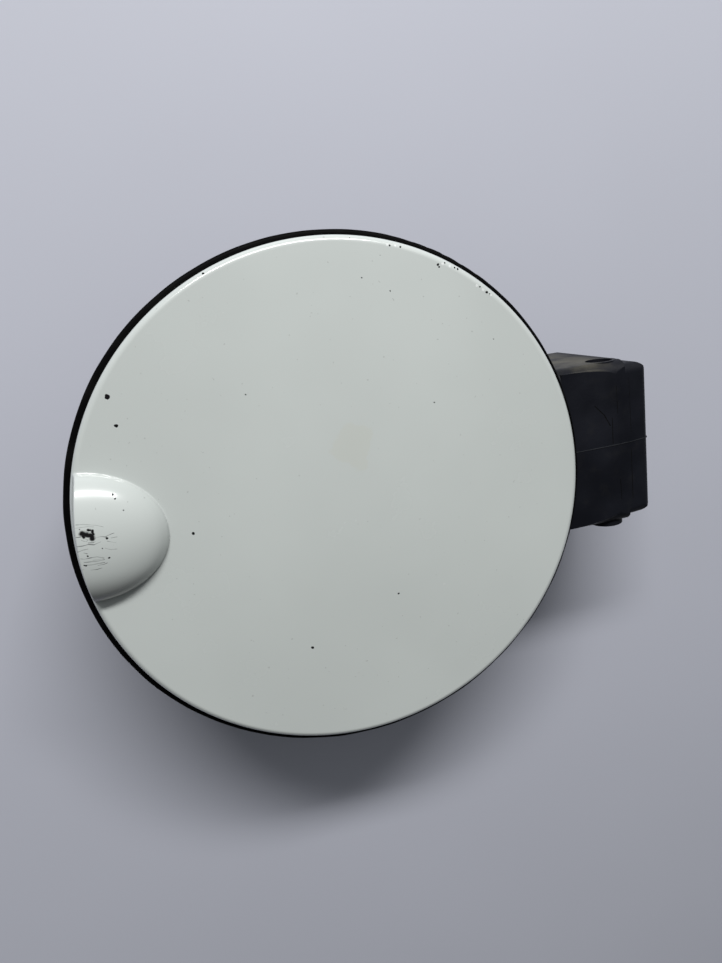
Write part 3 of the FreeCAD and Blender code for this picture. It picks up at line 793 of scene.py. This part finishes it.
@dataclass
class FlapPanel:
    """Round painted panel with its crown, rounded edge and finger hood."""

    radius: float = 75.0
    edge_top: float = 60.0
    crown: float = 1.2
    edge_bottom: float = 56.6
    edge_round: float = 1.9
    edge_flats: int = 12
    edge_break: float = 0.3
    under: float = 57.4
    under_ring: float = 30.0
    under_rise: float = 0.9
    skirt_inner: float = 72.6
    hood: Hood = Hood()
    hood_height: float = 8.8
    hood_wall: float = 2.0
    hood_end: float = 74.4
    hood_lean: float = 1.6
    hood_margin: float = 1.3
    front_drop: float = 1.3
    front_round: float = 2.4
    blend: float = 2.6
    lift_depth: float = 1.0
    lip_radius: float = 73.4
    floor: float = 59.0
    room_step: float = 0.12
    room_segments: int = 96
    room_rings: int = 40
    dip_rise: float = 0.35
    coarse_rings: tuple[float, ...] = (0.0, 1.5, 4.0, 8.0, 14.0, 20.0, 26.0, 32.0, 37.0, 41.0, 44.0)
    fine_rings: tuple[tuple[float, float, int], ...] = ((44.8, 0.80, 5), (48.25, 0.25, 88), (70.2, 0.15, 20))
    fine_arc: Arc = Arc(154.0, 45.0, 300)
    coarse_arc: Arc = Arc(199.0, 315.0, 315)
    wedges: int = 15
    carrier: Carrier = Carrier.FLAP

    def level(self, radius: float) -> float:
        """Gives the crowned panel's height.

        Args:
            radius: distance from the panel's centre.

        Returns:
            The height in millimetres.
        """
        return self.edge_top + self.crown * (1.0 - (radius / self.radius) ** 2)

    def hood_place(self, x: float, y: float) -> Point:
        """Gives a point's place in the hood's own directions.

        Args:
            x: place along the part's X.
            y: place along the part's Y.

        Returns:
            Distance inwards from the hood's centre and distance sideways.
        """
        turn = math.radians(self.hood.turn)
        dx = x + self.hood.centre * math.cos(turn)
        dy = y - self.hood.centre * math.sin(turn)
        return dx * math.cos(turn) - dy * math.sin(turn), dx * math.sin(turn) + dy * math.cos(turn)

    def height(self, radius: float, angle: float) -> float:
        """Gives the height of the outer skin, hood included.

        Args:
            radius: distance from the panel's centre.
            angle: angle in the part's plan.

        Returns:
            The height in millimetres.
        """
        panel = self.level(radius)
        inward, sideways = self.hood_place(radius * math.cos(angle), radius * math.sin(angle))
        spread = math.hypot(inward / self.hood.reach, sideways / self.hood.half_width)
        if spread > self.hood_margin:
            return panel
        inside = 1.0 - spread * spread
        dome = self.edge_top + self.hood_height * math.copysign(math.sqrt(abs(inside)), inside)
        start = self.edge_top - self.front_drop
        rise = (self.hood_height + self.front_drop) / self.hood_lean
        front = start + (self.hood_end - radius) * rise
        dome = min(dome, front) - standoff(dome - front, self.front_round)
        return max(dome, panel) + standoff(dome - panel, self.blend)

    def profile(self) -> list[Point]:
        """Lists the corners of the panel's half section, without the hood.

        Returns:
            Radius and height of each corner, from the top's middle to the underside's.
        """
        flat_end = self.radius - self.edge_round
        rings = list(self.coarse_rings)
        for start, spacing, count in self.fine_rings:
            rings += [start + spacing * number for number in range(count)]
        corners = [(radius, self.level(radius)) for radius in rings if radius < flat_end]
        corners += rounded_edge(self.radius, self.level(flat_end), self.edge_round, self.edge_flats)
        return corners + [
            (self.radius, self.edge_bottom + self.edge_break),
            (self.radius - self.edge_break, self.edge_bottom),
            (self.skirt_inner, self.edge_bottom),
            (self.skirt_inner, self.under),
            (self.under_ring, self.under + self.under_rise),
            (0.0, self.under + self.crown),
        ]

    def lift(self, angle: float, corner: Point) -> Point:
        """Raises a corner of the panel's upper side to the hood.

        Args:
            angle: angle in the part's plan.
            corner: radius and height without the hood.

        Returns:
            The radius and the new height.
        """
        radius, height = corner
        if radius >= self.hood_end or height < self.edge_top - self.lift_depth:
            return corner
        return radius, max(height, self.height(radius, angle) + height - self.level(radius))

    def hood_room(self) -> bpy.types.Object:
        """Makes the domed solid that hollows the hood.

        Returns:
            The object.
        """
        size = (
            self.hood.reach - self.hood_wall,
            self.hood.half_width - self.hood_wall,
            self.hood_height - self.hood_wall,
        )
        shell = bmesh.new()
        bmesh.ops.create_uvsphere(
            shell, u_segments=self.room_segments, v_segments=self.room_rings, radius=1.0,
            matrix=self.hood.matrix(self.edge_top) @ Matrix.Diagonal((*size, 1.0)),
        )
        cut = bmesh.ops.bisect_plane(
            shell, geom=[*shell.verts, *shell.edges, *shell.faces], plane_no=(0.0, 0.0, 1.0),
            plane_co=(0.0, 0.0, (self.edge_top + self.room_step) * MM), clear_inner=True,
        )
        rim = [part for part in cut["geom_cut"] if isinstance(part, bmesh.types.BMEdge)]
        bmesh.ops.edgeloop_fill(shell, edges=rim)
        return mesh_object("hood_room", shell)

    def floor_room(self) -> bpy.types.Object:
        """Makes the flat solid that dips the floor under the hood, inside the lip.

        Returns:
            The object.
        """
        reach = self.hood.reach - self.hood_wall
        half = self.hood.half_width - self.hood_wall
        shell = bmesh.new()
        bmesh.ops.create_circle(shell, cap_ends=True, segments=self.room_segments, radius=1.0)
        for vert in shell.verts:
            ahead = self.hood.centre * vert.co.x
            to_lip = ahead + math.sqrt(self.lip_radius ** 2 - self.hood.centre ** 2 + ahead ** 2)
            vert.co *= min(to_lip, 1.0 / math.hypot(vert.co.x / reach, vert.co.y / half))
        bmesh.ops.transform(shell, verts=shell.verts, matrix=self.hood.matrix(self.floor))
        tall = (self.edge_top + self.dip_rise - self.floor) * MM
        shell.faces.ensure_lookup_table()
        bmesh.ops.translate(shell, verts=grow(shell, shell.faces[0]).verts, vec=(0.0, 0.0, tall))
        return mesh_object("floor_room", shell)

    def build(self) -> bpy.types.Object:
        """Makes the panel and cuts the finger room under its hood.

        Returns:
            The finished object.
        """
        arcs = self.fine_arc.split(self.wedges) + self.coarse_arc.split(self.wedges)
        panel = lathe("flap_panel", self.profile(), arcs, False, self.lift)
        carve(panel, [self.hood_room(), self.floor_room()])
        return panel

    def dress(self, paint: PaintFinish) -> None:
        """Builds the panel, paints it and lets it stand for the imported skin.

        Args:
            paint: its finish.
        """
        panel = self.build()
        settle(panel, self.carrier, paint.build())
        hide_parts("flap_skin")


@dataclass
class RimSeal:
    """Rubber strip round the flap, with a slightly wavy lip that lies a little off centre."""

    inner: float = 71.6
    outer: float = 77.4
    low: float = 54.0
    top: float = 56.2
    inner_break: float = 0.3
    outer_round: float = 1.0
    outer_flats: int = 6
    lip_low: float = 53.1
    lip_wall: float = 1.8
    lip_break: float = 0.2
    free_depth: float = 1.2
    slack: float = 0.55
    shrink: float = 0.10
    wave_pitch: float = 9.0
    wave_seed: float = 0.3
    wave_reach: float = 0.10
    wave_rise: float = 0.06
    ripples: float = 90.0
    ripple_reach: float = 0.12
    ripple_heading: float = 58.0
    ripple_spread: float = 11.0
    arc: Arc = Arc(0.0, FULL_TURN, 480)
    carrier: Carrier = Carrier.BOWL

    def sway(self, angle: float, corner: Point) -> Point:
        """Moves a corner of the strip's section a little in and out along the strip.

        Args:
            angle: angle in the part's plan.
            corner: radius and height.

        Returns:
            The moved radius and height.
        """
        radius, height = corner
        if radius < self.outer - self.free_depth:
            return corner
        across, along = math.cos(angle), math.sin(angle)
        wave = noise.noise(Vector((across * self.wave_pitch, along * self.wave_pitch, self.wave_seed)))
        loose = math.exp(-((math.degrees(angle) - self.ripple_heading) / self.ripple_spread) ** 2)
        ripple = self.ripple_reach * min(math.sin(angle * self.ripples) * loose, 0.0)
        moved = radius - self.shrink - self.slack * along + self.wave_reach * wave + ripple
        most = self.outer / max(abs(across), abs(along))
        return min(moved, most), height + self.wave_rise * wave

    def build(self) -> bpy.types.Object:
        """Makes the strip.

        Returns:
            The object.
        """
        profile = [
            (self.inner, self.low),
            (self.inner, self.top - self.inner_break),
            (self.inner + self.inner_break, self.top),
            *rounded_edge(self.outer, self.top, self.outer_round, self.outer_flats),
            (self.outer, self.lip_low + self.lip_break),
            (self.outer - self.lip_break, self.lip_low),
            (self.outer - self.lip_wall, self.lip_low),
            (self.outer - self.lip_wall, self.low),
        ]
        return lathe("rim_strip", profile, [self.arc], True, self.sway)

    def dress(self, rubber: RubberFinish) -> None:
        """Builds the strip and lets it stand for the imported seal.

        Args:
            rubber: its finish.
        """
        strip = self.build()
        settle(strip, self.carrier, rubber.build())
        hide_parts("rim_seal")


@dataclass
class PocketMarks:
    """Moulding flash along the hinge pocket's middle plane."""

    path: tuple[Point, ...] = (
        (77.2, 53.0),
        (86.0, 53.0),
        (94.0, 53.0),
        (103.85, 51.49),
        (104.67, 51.24),
        (105.41, 50.75),
        (105.86, 50.22),
        (106.12, 49.77),
    )
    width: float = 0.34
    rise: float = 0.16
    root: float = 0.12
    pitch: float = 0.8
    stray: float = 0.10
    stray_pitch: float = 0.7
    stray_seed: float = 2.0
    uneven: float = 0.5
    uneven_pitch: float = 1.3
    uneven_seed: float = 7.0
    bead: float = 0.8
    bead_start: float = 105.6
    carrier: Carrier = Carrier.BOWL

    def points(self) -> list[Point]:
        """Lists the places of the flash's sections.

        Returns:
            Places along X and Z, a pitch or less apart.
        """
        points: list[Point] = []
        for start, end in zip(self.path, self.path[1:]):
            pieces = max(2, int(math.dist(start, end) / self.pitch))
            for number in range(pieces):
                share = number / pieces
                points.append(tuple(low + (high - low) * share for low, high in zip(start, end)))
        return points + [self.path[-1]]

    def section(self, before: Point, here: Point, after: Point) -> list[Vector]:
        """Gives the four corners of one section.

        Args:
            before: place of the section before it.
            here: its own place.
            after: place of the section after it.

        Returns:
            The corners in metres, growing along Y.
        """
        x, z = here
        run = Vector((after[0] - before[0], 0.0, after[1] - before[1])).normalized()
        out = Vector((-run.z, 0.0, run.x))
        thick = noise.noise(Vector((x * self.uneven_pitch, self.uneven_seed, z * self.uneven_pitch)))
        aside = noise.noise(Vector((x * self.stray_pitch, self.stray_seed, z * self.stray_pitch)))
        size = 1.0 + (self.bead if x > self.bead_start else self.uneven * thick)
        at = Vector((x, self.stray * aside, z))
        side = Vector((0.0, self.width * 0.5 * size, 0.0))
        crest, root = out * self.rise * size, out * self.root
        corners = (at - side - root, at - side * 0.5 + crest, at + side * 0.5 + crest, at + side - root)
        return [corner * MM for corner in corners]

    def build(self) -> bpy.types.Object:
        """Makes the flash as a thin ridge, grown section by section.

        Returns:
            The object.
        """
        points = self.points()
        sections = [
            self.section(*places) for places in zip(points[:1] + points, points, points[1:] + points[-1:])
        ]
        shell = bmesh.new()
        face = shell.faces.new([shell.verts.new(corner) for corner in sections[0]])
        for corners in sections[1:]:
            face = grow(shell, face)
            for vert, corner in zip(sorted(face.verts, key=lambda vert: vert.co.y), corners):
                vert.co = corner
        return mesh_object("pocket_flash", shell)

    def dress(self, plastic: MouldedFinish) -> None:
        """Builds and dresses the flash.

        Args:
            plastic: its finish.
        """
        settle(self.build(), self.carrier, plastic.build())


@dataclass
class BowlSide:
    """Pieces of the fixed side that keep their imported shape."""

    scratches: tuple[tuple[Point, Point, float], ...] = (
        ((86.1, 13.7), (89.2, 10.4), 0.42),
        ((89.2, 10.4), (91.2, 6.6), 0.50),
        ((92.0, 9.0), (91.9, 0.6), 0.40),
        ((98.9, 21.0), (99.1, 3.0), 0.24),
        ((98.9, -3.0), (98.9, -19.5), 0.40),
        ((94.1, -12.0), (94.3, -19.0), 0.34),
        ((93.9, 19.0), (94.0, 10.0), 0.22),
    )

    def dress(self) -> None:
        """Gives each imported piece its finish."""
        # The share given here sets dust with painted light on the hinge pocket's +Y side.
        plastic = MouldedFinish("bowl_plastic", dust_and_light_share=0.55, scratches=self.scratches)
        leaf = SteelFinish("spring_steel", (0.30, 0.31, 0.34), 0.34, (1.0, 1.0, 0.04))
        clip = SteelFinish("clip_steel", (0.20, 0.20, 0.195), 0.45, (1.0, 1.0, 0.05))
        dress_node("filler_bowl", plastic.build())
        dress_node("neck_gasket", RubberFinish("neck_rubber").build())
        dress_node("stop_buffers", RubberFinish("buffer_rubber").build())
        dress_node("hinge_pin", SteelFinish("pin_steel").build())
        dress_node("detent_spring", leaf.build())
        dress_node("retaining_clips", clip.build())


@dataclass
class CarrierScrews:
    """Pan-head screws behind the flap, with cross recesses in their heads."""

    circle: float = 44.0
    count: int = 5
    head_radius: float = 3.2
    head_height: float = 2.0
    head_round: float = 0.7
    head_flats: int = 4
    segments: int = 48
    shank_radius: float = 1.5
    shank_overlap: float = 0.2
    recess_reach: float = 1.75
    recess_half_width: float = 0.42
    recess_depth: float = 1.1
    recess_taper: float = 0.55
    recess_start: float = 0.2
    recess_turn: float = 0.9
    carrier: Carrier = Carrier.FLAP

    def place(self, number: int) -> Vector:
        """Gives a screw's place in plan.

        Args:
            number: number of the screw.

        Returns:
            Its place in millimetres, at no height.
        """
        heading = math.tau * (number + 0.5) / self.count
        return Vector((self.circle * math.cos(heading), self.circle * math.sin(heading), 0.0))

    def recess(self, number: int, low: float) -> bpy.types.Object:
        """Makes the solid that cuts one head's cross recess.

        Args:
            number: number of the screw.
            low: height of the head's face.

        Returns:
            The object.
        """
        reach, half = self.recess_reach, self.recess_half_width
        arm = (Vector((half, half, 0.0)), Vector((half, reach, 0.0)), Vector((-half, reach, 0.0)))
        quarters = [Matrix.Rotation(math.pi / 2 * quarter, 3, "Z") for quarter in range(4)]
        shell = bmesh.new()
        cross = shell.faces.new([shell.verts.new(turn @ corner) for turn in quarters for corner in arm])
        tip = grow(shell, cross).verts
        bmesh.ops.scale(shell, verts=tip, vec=(self.recess_taper, self.recess_taper, 1.0))
        bmesh.ops.translate(shell, verts=tip, vec=(0.0, 0.0, self.recess_start + self.recess_depth))
        at = Matrix.Translation(self.place(number) + Vector((0.0, 0.0, low - self.recess_start)))
        turn = Matrix.Rotation(self.recess_turn * number, 4, "Z")
        bmesh.ops.transform(shell, verts=shell.verts, matrix=Matrix.Scale(MM, 4) @ at @ turn)
        return mesh_object(f"recess_{number}", shell)

    def build(self) -> bpy.types.Object:
        """Makes the screws.

        Returns:
            The object.
        """
        lowest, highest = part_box("carrier_screws")
        low, top = lowest[2] / MM, highest[2] / MM
        shank_low = low + self.head_height - self.shank_overlap
        shell = bmesh.new()
        for number in range(self.count):
            for start, end, radius in (
                (low, low + self.head_height, self.head_radius),
                (shank_low, top, self.shank_radius),
            ):
                middle = self.place(number) + Vector((0.0, 0.0, (start + end) / 2))
                bmesh.ops.create_cone(
                    shell, cap_ends=True, segments=self.segments, radius1=radius * MM, radius2=radius * MM,
                    depth=(end - start) * MM, matrix=Matrix.Translation(middle * MM),
                )
        rims = [edge for edge in shell.edges if all(abs(vert.co.z / MM - low) < SEAM for vert in edge.verts)]
        bmesh.ops.bevel(
            shell, geom=rims, offset=self.head_round * MM, offset_type="OFFSET", segments=self.head_flats,
            profile=0.5, affect="EDGES", material=-1,
        )
        screws = mesh_object("screws", shell)
        carve(screws, [self.recess(number, low) for number in range(self.count)])
        return screws

    def dress(self, steel: SteelFinish) -> None:
        """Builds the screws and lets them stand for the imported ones.

        Args:
            steel: their finish.
        """
        screws = self.build()
        settle(screws, self.carrier, steel.build())
        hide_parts("carrier_screws")


@dataclass
class FlapBack:
    """Carrier behind the painted panel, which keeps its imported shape."""

    def dress(self) -> None:
        """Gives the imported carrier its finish."""
        plastic = MouldedFinish("carrier_plastic", (0.0145, 0.0148, 0.0165), 0.42, 1100.0)
        dress_node("hinge_carrier", plastic.build())


@dataclass
class Studio:
    """Pale floor, soft light and the camera of the photo."""

    eye: tuple[float, float, float] = (-0.0353, 0.0600, 0.2577)
    look: tuple[float, float, float] = (0.1968, -0.2581, -0.9459)
    right: tuple[float, float, float] = (0.9627, -0.1319, 0.2363)
    up: tuple[float, float, float] = (0.1857, 0.9572, -0.2225)
    lens: float = 26.92
    sensor: float = 36.0
    nearest: float = 0.01
    floor_colour: Colour = (0.46, 0.475, 0.54)
    floor_half: float = 4.0
    window_at: tuple[float, float, float] = (0.03, 0.82, 0.74)
    window_size: Point = (0.85, 0.13)
    window_power: float = 14.2
    window_colour: Colour = (1.0, 0.99, 0.98)
    window_aim: tuple[float, float, float] = (0.0, 0.0, 0.04)
    room_span: Point = (-0.35, 0.90)
    room_light: Point = (0.06, 0.45)
    room_colour: Colour = (0.94, 0.97, 1.0)

    def floor(self) -> None:
        """Lays the floor."""
        graph = Graph("floor_paint")
        tone = graph.step(graph.cloud(5.0, 3.0), 0.3, 0.7)
        pale = tuple(part * 1.03 for part in self.floor_colour)
        material = graph.finish(graph.blend(tone, self.floor_colour, pale), 0.7)
        shell = bmesh.new()
        bmesh.ops.create_grid(shell, x_segments=1, y_segments=1, size=self.floor_half)
        plane = mesh_object("floor", shell)
        plane.data.materials.append(material)

    def window(self) -> None:
        """Hangs the long soft lamp above the far side."""
        data = bpy.data.lights.new("window", "AREA")
        data.shape = "RECTANGLE"
        data.size, data.size_y = self.window_size
        data.energy = self.window_power
        data.color = self.window_colour
        lamp = bpy.data.objects.new("window", data)
        lamp.location = self.window_at
        aim = Vector(self.window_aim) - Vector(self.window_at)
        lamp.rotation_euler = aim.to_track_quat("-Z", "Y").to_euler()
        bpy.context.scene.collection.objects.link(lamp)

    def world(self) -> None:
        """Sets the room's light: brighter at the far side, darker at the near side."""
        world = bpy.data.worlds.new("room")
        bpy.context.scene.world = world
        world.use_nodes = True
        tree = world.node_tree
        place = tree.nodes.new("ShaderNodeTexCoord")
        split = tree.nodes.new("ShaderNodeSeparateXYZ")
        ramp = tree.nodes.new("ShaderNodeMapRange")
        for socket, value in zip(ramp.inputs[1:5], (*self.room_span, *self.room_light)):
            socket.default_value = value
        tree.links.new(place.outputs["Generated"], split.inputs[0])
        tree.links.new(split.outputs[1], ramp.inputs[0])
        tree.links.new(ramp.outputs[0], tree.nodes["Background"].inputs["Strength"])
        tree.nodes["Background"].inputs["Color"].default_value = (*self.room_colour, 1.0)

    def camera(self) -> None:
        """Places the camera as in the photo."""
        data = bpy.data.cameras.new("camera")
        data.lens = self.lens
        data.sensor_width = self.sensor
        data.clip_start = self.nearest
        camera = bpy.data.objects.new("camera", data)
        turn = Matrix((self.right, self.up, [-part for part in self.look])).transposed()
        camera.matrix_world = Matrix.Translation(self.eye) @ turn.to_4x4()
        bpy.context.scene.collection.objects.link(camera)
        bpy.context.scene.camera = camera

    def build(self) -> None:
        """Sets up the whole studio."""
        self.floor()
        self.world()
        self.window()
        self.camera()
        bpy.context.scene.view_settings.view_transform = "Standard"


def main() -> None:
    """Builds and dresses every piece, then the studio."""
    logging.basicConfig(level=logging.INFO)
    FlapPanel().dress(PaintFinish())
    RimSeal().dress(RubberFinish("rim_rubber"))
    PocketMarks().dress(MouldedFinish("flash_plastic", (0.014, 0.015, 0.018), 0.5))
    BowlSide().dress()
    FlapBack().dress()
    CarrierScrews().dress(SteelFinish("screw_steel", (0.44, 0.44, 0.41), 0.30))
    Studio().build()


if __name__ == "__main__":
    main()
